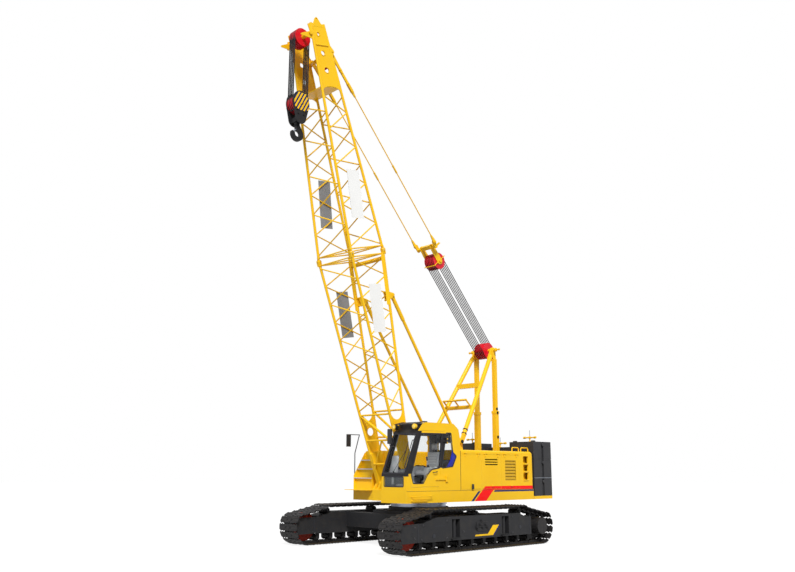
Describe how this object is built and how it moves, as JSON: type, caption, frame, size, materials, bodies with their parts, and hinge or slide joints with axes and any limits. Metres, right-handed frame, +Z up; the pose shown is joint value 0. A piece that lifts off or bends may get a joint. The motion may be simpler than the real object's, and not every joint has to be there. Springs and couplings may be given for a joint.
{
  "type": "crawler crane",
  "caption": "Crawler crane on two steel tracks, with a slewing house, a lattice boom on a gantry with bridle and pendants, and a hook block on rope falls.",
  "frame": {"origin": "On the ground, under the slewing axis.", "axes": "+X forward along the boom, +Y to the left, where the cab is, +Z up."},
  "size_m": [9.1637, 4.83, 14.3401],
  "materials": {
    "crane_yellow": "gloss chassis enamel",
    "charcoal": "satin dark grey enamel",
    "track_steel": "dark painted cast steel",
    "wheel_red": "red-brown primer",
    "ring_steel": "machined steel",
    "glass": "tinted safety glass",
    "seat_grey": "woven seat cloth",
    "plastic_black": "moulded black plastic",
    "tread_silver": "open bright tread",
    "engine_grey": "painted casting",
    "weight_grey": "dark grey painted slabs",
    "sheave_red": "red enamel",
    "board_white": "plain painted board",
    "rope_steel": "greased wire rope",
    "hook_black": "black enamel forging"
  },
  "bodies": {
    "undercarriage": {"carbody": "crane_yellow", "slewing_ring_fixed": "ring_steel", "side_frame_left": "charcoal", "side_frame_right": "charcoal", "track_left": "track_steel", "track_right": "track_steel", "idler_left": "wheel_red", "idler_right": "wheel_red", "sprocket_left": "track_steel", "sprocket_right": "track_steel", "rollers_left": "track_steel", "rollers_right": "track_steel"},
    "upperworks": {"slewing_ring_turning": "ring_steel", "revolving_frame": "crane_yellow", "cab_shell": "crane_yellow", "cab_glass": "glass", "operator_seat": "seat_grey", "control_consoles": "plastic_black", "cab_visor": "plastic_black", "left_house": "crane_yellow", "right_house": "crane_yellow", "stairs": "crane_yellow", "treads": "tread_silver", "mirrors": "plastic_black", "engine_block": "engine_grey", "winches": "charcoal", "counterweight_tray": "crane_yellow", "counterweight": "weight_grey", "lifting_fittings": "crane_yellow", "gantry_front_legs": "crane_yellow", "gantry_back_legs": "crane_yellow", "gantry_sheaves": "sheave_red"},
    "cab_door": {"cab_door": "crane_yellow", "door_glass": "glass"},
    "hatch_front": {"hatch_front": "crane_yellow"},
    "hatch_middle": {"hatch_middle": "crane_yellow"},
    "hatch_rear": {"hatch_rear": "crane_yellow"},
    "boom": {"boom_butt": "crane_yellow", "boom_tip": "crane_yellow", "boom_head": "crane_yellow", "head_sheaves": "sheave_red", "guide_sheaves": "sheave_red", "sign_boards": "board_white"},
    "luffing_line": {"luffing_ropes": "rope_steel"},
    "bridle": {"bridle_yoke": "crane_yellow", "bridle_sheaves": "sheave_red"},
    "pendants": {"pendants": "crane_yellow"},
    "backstop_tubes": {"backstop_tubes": "crane_yellow"},
    "backstop_rods": {"backstop_rods": "crane_yellow"},
    "hoist_line": {"hoist_ropes": "rope_steel"},
    "hook_block": {"hook_block": "charcoal", "block_sheaves": "sheave_red"},
    "load_hook": {"load_hook": "hook_black"}
  },
  "joints": [
    {"name": "slew", "type": "hinge", "parent": "undercarriage", "child": "upperworks", "pos_m": [0, 0, 1.1], "axis": [0, 0, 1], "continuous": true},
    {"name": "boom_luff", "type": "hinge", "parent": "upperworks", "child": "boom", "pos_m": [0.923, 0, 1.635], "axis": [0, -1, 0], "range_deg": [-44.4, 5.6]},
    {"name": "luffing_line_tilt", "type": "hinge", "parent": "upperworks", "child": "luffing_line", "pos_m": [-3.04, 0, 5.79], "axis": [0, -1, 0], "range_deg": [-38.24, 5.26]},
    {"name": "bridle_travel", "type": "slide", "parent": "luffing_line", "child": "bridle", "axis": [0.6679, 0, 0.7442], "range_m": [-0.5602, 4.3032], "deforming": ["luffing_ropes"]},
    {"name": "pendant_tilt", "type": "hinge", "parent": "boom", "child": "pendants", "pos_m": [3.88441, 0, 13.50591], "axis": [0, -1, 0], "range_deg": [-0.65, 1.72]},
    {"name": "backstop_tilt", "type": "hinge", "parent": "upperworks", "child": "backstop_tubes", "pos_m": [-1.13, 0, 2.85], "axis": [0, -1, 0], "range_deg": [-38.59, 5.3]},
    {"name": "backstop_travel", "type": "slide", "parent": "backstop_tubes", "child": "backstop_rods", "axis": [0.5676, 0, 0.8233], "range_m": [-0.235, 1.7248]},
    {"name": "hook_hang", "type": "hinge", "parent": "boom", "child": "hoist_line", "pos_m": [4.66307, 0, 13.7661], "axis": [0, -1, 0], "range_deg": [-6.1, 44.9]},
    {"name": "hoist", "type": "slide", "parent": "hoist_line", "child": "hook_block", "axis": [0, 0, -1], "range_m": [0, 9.8], "deforming": ["hoist_ropes"]},
    {"name": "hook_swivel", "type": "hinge", "parent": "hook_block", "child": "load_hook", "pos_m": [4.66307, 0, 11.3261], "axis": [0, 0, 1], "continuous": true},
    {"name": "cab_door_hinge", "type": "hinge", "parent": "upperworks", "child": "cab_door", "pos_m": [0.6, 1.646, 2.3], "axis": [0, 0, 1], "range_deg": [0, 100]},
    {"name": "hatch_front_hinge", "type": "hinge", "parent": "upperworks", "child": "hatch_front", "pos_m": [-0.465, 1.634, 2.49], "axis": [1, 0, 0], "range_deg": [0, 80]},
    {"name": "hatch_middle_hinge", "type": "hinge", "parent": "upperworks", "child": "hatch_middle", "pos_m": [-1.325, 1.634, 2.49], "axis": [1, 0, 0], "range_deg": [0, 80]},
    {"name": "hatch_rear_hinge", "type": "hinge", "parent": "upperworks", "child": "hatch_rear", "pos_m": [-2.19, 1.634, 2.49], "axis": [1, 0, 0], "range_deg": [0, 80]}
  ],
  "couplings": [
    {"joint": "luffing_line_tilt", "follows": "boom_luff", "ratio": 0.85},
    {"joint": "bridle_travel", "follows": "boom_luff", "m_per_rad": -5.5273},
    {"joint": "pendant_tilt", "follows": "boom_luff", "ratio": -0.0275},
    {"joint": "backstop_tilt", "follows": "boom_luff", "ratio": 0.858},
    {"joint": "backstop_travel", "follows": "boom_luff", "m_per_rad": -2.2},
    {"joint": "hook_hang", "follows": "boom_luff", "ratio": -1}
  ]
}
